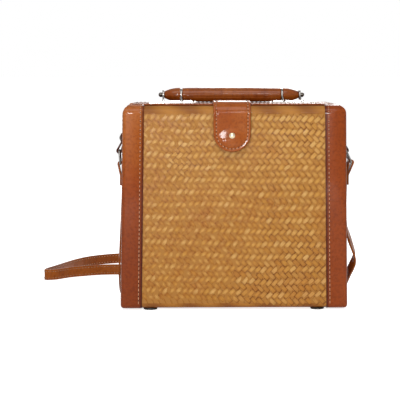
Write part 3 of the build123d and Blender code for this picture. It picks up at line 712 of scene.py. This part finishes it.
def band_seams(side, end):
    """The two sewn edges of one corner band: on the front or back, and on the side."""
    front = []
    beside = []
    face = (front_face - leather_lift) * -end
    for step in range(upright_steps + 1):
        z = seam_start + (case_top - shoulder - seam_start) * step / upright_steps
        front.append((side * (half_width(z) - band_front_width + band_seam_inset), face, z))
        z = seam_start + (case_top - end_shoulder - seam_start) * step / upright_steps
        seam_y = (-front_face - band_side_width + band_seam_inset) * end
        beside.append((side * (half_width(z) + leather_lift), seam_y, z))
    for step in range(1, shoulder_steps + 1):
        turn = pi / 2 * step / shoulder_steps
        z = case_top - shoulder + shoulder * sin(turn) + leather_lift
        reach = -front_face - shoulder + shoulder * cos(turn)
        front.append((front[-1][0], reach * end, z))
        z = case_top - end_shoulder + end_shoulder * sin(turn) + leather_lift
        reach = half_width(case_top) - end_shoulder + end_shoulder * cos(turn)
        beside.append((side * reach, beside[-1][1], z))
    return [front, beside]


polished_hide = cowhide("polished_chestnut_hide", chestnut_deep, chestnut, chestnut_pale)
band_hide = cowhide("burnished_band_hide_with_painted_light", chestnut_deep, chestnut, chestnut_pale, burnished_and_painted_light=True)
linen_thread = even_finish("waxed_linen_thread", thread_colour, Roughness=0.6)
# Dark beads between the stitches: painted shade in the awl holes
awl_hole_shade = even_finish("awl_hole_shade", hole_shade_colour, Roughness=0.9)
stitch_rows = seam_tree()
for name in ("left_side_leather", "right_side_leather", "bottom_leather"):
    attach(smooth_copy(name, polished_hide), "case")
corner_seams = []
for end, way in (("front", -1), ("back", 1)):
    for side, sign in (("left", -1), ("right", 1)):
        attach(smooth_copy(f"{end}_{side}_band", band_hide, edge=0.35 * MM), "case")
        corner_seams += band_seams(sign, way)
seam("band", corner_seams, "case")


# The feet: low black buttons of hard rubber, nailed under the base near its corners.

rubber_black = even_finish("black_rubber", "#17150F", Roughness=0.55)
for end in ("front", "back"):
    for side in ("left", "right"):
        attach(smooth_copy(f"{end}_{side}_foot", rubber_black), "case")


# The lid: one panel of hide over a thin board, sewn round its edge, turning on two small brass
# butt hinges that are let into the back rail.

lid_seam_inset = 3.2 * MM
lid_corner = 4.0 * MM
wear_size = 2.0 * MM
lid_low, lid_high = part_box("lid_leather")
lid_top = lid_high[2]


def bright_metal(name, colour, roughness):
    """Polished metal: mirror bright, with the faint wear of handling."""
    material, tree, shader, place = new_finish(name, Metallic=1.0, Base_Color=linear(colour))
    wear = add_node(tree, "ShaderNodeTexNoise", {"Vector": place, "Scale": 1 / wear_size, "Detail": 4})
    rough = add_node(tree, "ShaderNodeMapRange", [wear, 0.0, 1.0, roughness * 0.6, roughness * 1.5])
    tree.links.new(rough, shader["Roughness"])
    return material


def lid_seam():
    """The sewn line round the lid, a little in from its edge."""
    points = []
    centres = (
        (lid_high[0], lid_high[1], 0),
        (lid_low[0], lid_high[1], 90),
        (lid_low[0], lid_low[1], 180),
        (lid_high[0], lid_low[1], 270),
    )
    radius = lid_corner - lid_seam_inset / 2
    for x, y, start in centres:
        middle_x = x - (lid_seam_inset + radius) * (1 if x > 0 else -1)
        middle_y = y - (lid_seam_inset + radius) * (1 if y > 0 else -1)
        for step in range(5):
            turn = radians(start + 90 * step / 4)
            place = (middle_x + radius * cos(turn), middle_y + radius * sin(turn), lid_top + leather_lift / 2)
            points.append(place)
    return points + points[:1]


nickel = bright_metal("bright_nickel", "#EEEBE6", 0.12)
worn_nickel = bright_metal("worn_nickel", "#7C7874", 0.25)
dark_nickel = bright_metal("tarnished_nickel", "#5E5852", 0.22)
brass = bright_metal("polished_brass", "#C9A25A", 0.25)
dull_steel = bright_metal("plated_steel", "#A8A8A8", 0.35)
lid_hide = cowhide("matt_lid_hide", "#6E300E", "#7C3A14", "#88441C", gloss=0.02)
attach(smooth_copy("lid_leather", lid_hide), "lid")
seam("lid", [lid_seam()], "lid")
for side in ("left", "right"):
    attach(smooth_copy(f"{side}_hinge_case_leaf", brass), "case")
    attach(smooth_copy(f"{side}_hinge_lid_leaf", brass), "lid")
    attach(smooth_copy(f"{side}_hinge_pin", brass), "lid")


# The closure tab: two layers of hide with a thin pad between them, sewn round, and bent over the
# front edge of the lid. A magnet behind the domed stud holds it to the steel disc on the plait, and
# the pad is fullest a little below the stud.

tab_seam_inset = 2.8 * MM
tab_pitch = 3.6 * MM
tab_stitch = 2.5 * MM
tab_bend = 13.0 * MM
tab_voxel = 0.55 * MM
pad_rise = 1.2 * MM
pad_reach = 15.7 * MM
pad_edge = 4.0 * MM
pad_drop = 8.0 * MM
seam_sink = 0.25 * MM
seam_reach = 1.0 * MM
thread_sink = 0.15 * MM
bend_steps = 8
tab_low, tab_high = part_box("closure_tab")
tab_middle = (tab_low[0] + tab_high[0]) / 2
tab_half = (tab_high[0] - tab_low[0]) / 2
tab_end = tab_low[2] + tab_half
tab_reach = tab_half - tab_seam_inset
stud_low, stud_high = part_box("tab_stud")
pad_place = Vector((tab_middle, 0, (stud_low[2] + stud_high[2]) / 2 - pad_drop))


def tab_seam():
    """From the back of the tab on the lid, down one side, round its end and up the other."""
    face = tab_low[1] - leather_lift
    top = tab_high[2] + leather_lift
    down = [(tab_reach, tab_high[1] - tab_seam_inset, top), (tab_reach, tab_low[1] + tab_bend, top)]
    for step in range(1, bend_steps + 1):
        turn = pi / 2 * step / bend_steps
        y = tab_low[1] + tab_bend - (tab_bend + leather_lift) * sin(turn)
        down.append((tab_reach, y, top - tab_bend * (1 - cos(turn))))
    down.append((tab_reach, face, tab_end))
    turns = [pi * step / 16 for step in range(1, 16)]
    around = [(tab_reach * cos(turn), face, tab_end - tab_reach * sin(turn)) for turn in turns]
    up = [(-x, y, z) for x, y, z in reversed(down)]
    return [(tab_middle + x, y + thread_sink, z) for x, y, z in down + around + up]


def padded_tab():
    """The tab with soft edges, pressed in along its seam and swollen over its pad, on the outside."""
    source = bpy.data.objects.new("tab_source", nodes["closure_tab"].data.copy())
    bpy.context.scene.collection.objects.link(source)
    weld = source.modifiers.new("weld", "WELD")
    weld.merge_threshold = 0.01 * MM
    remesh = source.modifiers.new("remesh", "REMESH")
    remesh.mode = "VOXEL"
    remesh.voxel_size = tab_voxel
    relax = source.modifiers.new("relax", "SMOOTH")
    relax.iterations = 4
    depsgraph = bpy.context.evaluated_depsgraph_get()
    mesh = bpy.data.meshes.new_from_object(source.evaluated_get(depsgraph))
    bpy.data.objects.remove(source)
    for vertex in mesh.vertices:
        x, y, z = vertex.co
        out = Vector((0, vertex.normal.y, vertex.normal.z))
        if vertex.normal.y > 0.2 or out.length < 0.5:
            continue
        across = abs(x - tab_middle)
        below = tab_end - z
        inside = tab_reach - (Vector((across, below)).length if below > 0 else across)
        shift = -seam_sink * exp(-((inside / seam_reach) ** 2))
        if z < tab_high[2] - tab_bend:
            away = (Vector((x, 0, z)) - pad_place).length
            share = min(max(inside / pad_edge, 0.0), 1.0)
            dome = max(1 - (away / pad_reach) ** 2, 0.0)
            shift += pad_rise * dome * share * share * (3 - 2 * share)
        vertex.co += out.normalized() * shift
    return new_piece("closure_tab_skin", mesh, tab_hide, "closure_tab")


tab_hide = cowhide("glossy_tab_hide", chestnut_deep, chestnut, chestnut_pale, gloss=0.24, clearness=0.1)
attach(padded_tab(), "lid")
seam("tab", [tab_seam()], "lid", pitch=tab_pitch, length=tab_stitch)
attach(smooth_copy("tab_stud", bright_metal("pale_gilt", "#C9BA9C", 0.3)), "lid")
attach(smooth_copy("tab_magnet", dull_steel), "lid")
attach(smooth_copy("keeper_disc", dull_steel), "case")


# The handle: a rod through a leather-wrapped grip and two tapered sleeves, carried by two wire
# bails that fold in the slots of pressed saddle plates. The hide is glued round the grip, and its
# two edges meet in a fine groove along the front. Everything bright is nickel-plated steel.

grip_rings = 60
grip_sides = 96
groove_angle = radians(-16)
groove_half = radians(2.5)
groove_end = 20
groove_depth = 0.45 * MM
grip_low, grip_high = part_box("handle_grip")
rod_y = (grip_low[1] + grip_high[1]) / 2
rod_z = (grip_low[2] + grip_high[2]) / 2
grip_half = grip_high[0]
grip_middle_radius = (grip_high[2] - grip_low[2]) / 2
grip_taper = 0.6 * MM
grip_end_radius = grip_middle_radius - grip_taper
grip_edge = 0.9 * MM


def wrapped_grip():
    """The grip: a slim barrel whose ends turn in, with the groove where the hide's edges meet."""
    skin = bmesh.new()
    rings = []
    for ring in range(grip_rings + 1):
        share = -cos(pi * ring / grip_rings)
        barrel = grip_end_radius + (grip_middle_radius - grip_end_radius) * (1 - share * share)
        inward = max(abs(share) * grip_half - (grip_half - grip_edge), 0.0)
        radius = barrel - grip_edge + (grip_edge**2 - inward**2) ** 0.5
        row = []
        for side in range(grip_sides):
            turn = 2 * pi * side / grip_sides
            from_groove = (turn - groove_angle + pi) % (2 * pi) - pi
            deep = groove_depth * exp(-((from_groove / groove_half) ** 2))
            reach = radius - deep * (1 - share**groove_end)
            row.append(
                skin.verts.new((share * grip_half, rod_y - reach * cos(turn), rod_z + reach * sin(turn)))
            )
        rings.append(row)
    for first, second in zip(rings, rings[1:]):
        for side in range(grip_sides):
            after = (side + 1) % grip_sides
            skin.faces.new((first[side], first[after], second[after], second[side]))
    skin.faces.new(rings[0])
    skin.faces.new(rings[-1][::-1])
    bmesh.ops.recalc_face_normals(skin, faces=skin.faces)
    mesh = bpy.data.meshes.new("grip_skin")
    skin.to_mesh(mesh)
    skin.free()
    return new_piece("handle_grip_skin", mesh, dark_hide, "handle_grip")


dark_hide = cowhide("dark_chestnut_hide", "#6A2A08", "#84400F", "#94501C", gloss=0.3)
for side in ("left", "right"):
    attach(smooth_copy(f"{side}_handle_plate", nickel), "lid")
    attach(smooth_copy(f"{side}_plate_rivets", nickel), "lid")
    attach(smooth_copy(f"{side}_bail", worn_nickel), f"{side}_bail")
    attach(smooth_copy(f"{side}_sleeve", dark_hide), "grip_assembly")
    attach(smooth_copy(f"{side}_cap_nut", dark_nickel), "grip_assembly")
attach(wrapped_grip(), "grip_assembly")
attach(smooth_copy("handle_rod", nickel), "grip_assembly")


# The sides: a chape of folded hide, closed by one rivet, carries an oblong wire ring, and the strap
# is folded round each ring. The strap is one length of hide, sewn along both edges, and it lies on
# its edge on the ground behind the bag.

strap_seam_inset = 2.2 * MM
strap_pitch = 4.0 * MM
strap_stitch = 2.8 * MM
strap_thread = 0.34 * MM
blend_start = (0.12, 0.0, 0.125)
blend_end = (0.12, 0.04, 0.03)
# The chapes are painted near black: painted shade for the shade they hang in at the sides of the bag
shaded_chape_hide = cowhide("chape_hide_painted_in_shade", "#38170A", "#4A2210", "#5C2C16", gloss=0.1)
strap_hide = cowhide("strap_hide", "#7E3A0C", "#8C4812", "#9A5620", gloss=0.08)


def strap_seams():
    """The sewn lines along both edges of the strap, on both of its faces, as it stands on its edge."""
    ribbon = bmesh.new()
    ribbon.from_mesh(nodes["strap_run"].data)
    bmesh.ops.remove_doubles(ribbon, verts=ribbon.verts, dist=weld_distance)
    top = max(vertex.co.z for vertex in ribbon.verts)
    rim = [
        edge
        for edge in ribbon.edges
        if min(v.co.z for v in edge.verts) > top - leather_lift
        and any(abs(face.normal.z) < 0.5 for face in edge.link_faces)
    ]
    neighbours = {}
    for edge in rim:
        for vertex in edge.verts:
            neighbours.setdefault(vertex, []).append(edge.other_vert(vertex))
    last = min(neighbours, key=lambda vertex: vertex.co.x)
    around = [last]
    while True:
        onward = [vertex for vertex in neighbours[around[-1]] if vertex not in around[-3:]]
        if not onward or onward[0] is last:
            break
        around.append(onward[0])
    lines = []
    for height in (strap_seam_inset, top - strap_seam_inset):
        line = []
        for vertex in around:
            walls = [face.normal for face in vertex.link_faces if abs(face.normal.z) < 0.5]
            out = sum(walls, Vector()).normalized() * leather_lift
            line.append((vertex.co.x + out.x, vertex.co.y + out.y, height))
        lines.append(line)
    ribbon.free()
    return lines


for side, sign in (("left", -1), ("right", 1)):
    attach(smooth_copy(f"{side}_chape", shaded_chape_hide, edge=0.3 * MM), "case")
    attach(smooth_copy(f"{side}_chape_rivet", dark_nickel), "case")
    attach(smooth_copy(f"{side}_ring", worn_nickel), f"{side}_ring")
    strap = smooth_copy(f"{side}_strap_end", strap_hide)
    start, end = [(sign * x, y, z) for x, y, z in (blend_start, blend_end)]
    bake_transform(strap)
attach(smooth_copy("strap_run", strap_hide), "case")
seam("strap", strap_seams(), "case", pitch=strap_pitch, length=strap_stitch, radius=strap_thread)


# The room: a pale floor and a white surround, a lamp just left of the camera that the polished
# hide reflects, a large one high in front, a faint one high at the right and one behind, and the
# camera, a little left of the bag.

floor_white = "#F4F4F4"
floor_half = 40.0
floor_glow = 0.75
surround_light = 0.25
camera_place = Vector((-65, -1446, 242)) * MM
camera_aim = Vector((-34.5, -46, 111.5)) * MM
camera_lens = 126.6
lamp_aim = Vector((0, 0, 0.15))
lamps = (
    ("key_lamp", (-0.225, -1.5, 0.345), (0.2, 0.22), 10.0),
    ("high_lamp", (-0.15, -0.9, 1.3), (1.0, 0.8), 10.0),
    ("right_lamp", (0.13, -1.5, 0.67), (0.24, 0.12), 2.0),
    ("back_lamp", (0.3, 1.4, 0.9), (0.6, 0.6), 16.0),
)


def studio():
    """The floor, the surround and the lamps."""
    floor_mesh = bpy.data.meshes.new("floor")
    corners = [(-1, -1), (1, -1), (1, 1), (-1, 1)]
    floor_mesh.from_pydata([(x * floor_half, y * floor_half, 0) for x, y in corners], [], [(0, 1, 2, 3)])
    floor = bpy.data.objects.new("floor", floor_mesh)
    bpy.context.scene.collection.objects.link(floor)
    material, tree, shader, place = new_finish(
        "white_paper", Roughness=0.9, Base_Color=linear(floor_white), Emission_Color=(1, 1, 1, 1)
    )
    world = bpy.data.worlds.new("white_surround")
    bpy.context.scene.world = world
    world.use_nodes = True
    background = world.node_tree.nodes["Background"].inputs
    background["Color"].default_value = (1, 1, 1, 1)
    seen = []
    for part in (tree, world.node_tree):
        rays = add_node(part, "ShaderNodeLightPath").node.outputs
        direct = add_node(
            part, "ShaderNodeMath", [rays["Is Camera Ray"], rays["Is Glossy Ray"]], operation="MAXIMUM"
        )
        seen.append(
            add_node(part, "ShaderNodeMath", [direct, rays["Is Transmission Ray"]], operation="MAXIMUM")
        )
    glow = add_node(tree, "ShaderNodeMath", [seen[0], floor_glow], operation="MULTIPLY")
    tree.links.new(glow, shader["Emission Strength"])
    level = add_node(world.node_tree, "ShaderNodeMapRange", [seen[1], 0.0, 1.0, surround_light, 1.0])
    world.node_tree.links.new(level, background["Strength"])
    floor_mesh.materials.append(material)
    for name, place, size, power in lamps:
        lamp = bpy.data.lights.new(name, "AREA")
        lamp.shape = "RECTANGLE"
        lamp.size, lamp.size_y = size
        lamp.energy = power
        lamp_object = bpy.data.objects.new(name, lamp)
        lamp_object.location = place
        direction = lamp_aim - Vector(place)
        lamp_object.rotation_euler = direction.to_track_quat("-Z", "Y").to_euler()
        bpy.context.scene.collection.objects.link(lamp_object)


studio()
camera_data = bpy.data.cameras.new("camera")
camera_data.lens = camera_lens
camera = bpy.data.objects.new("camera", camera_data)
camera.location = camera_place
camera.rotation_euler = (camera_aim - camera_place).to_track_quat("-Z", "Y").to_euler()
bpy.context.scene.collection.objects.link(camera)
bpy.context.scene.camera = camera
bpy.context.scene.view_settings.view_transform = "Standard"
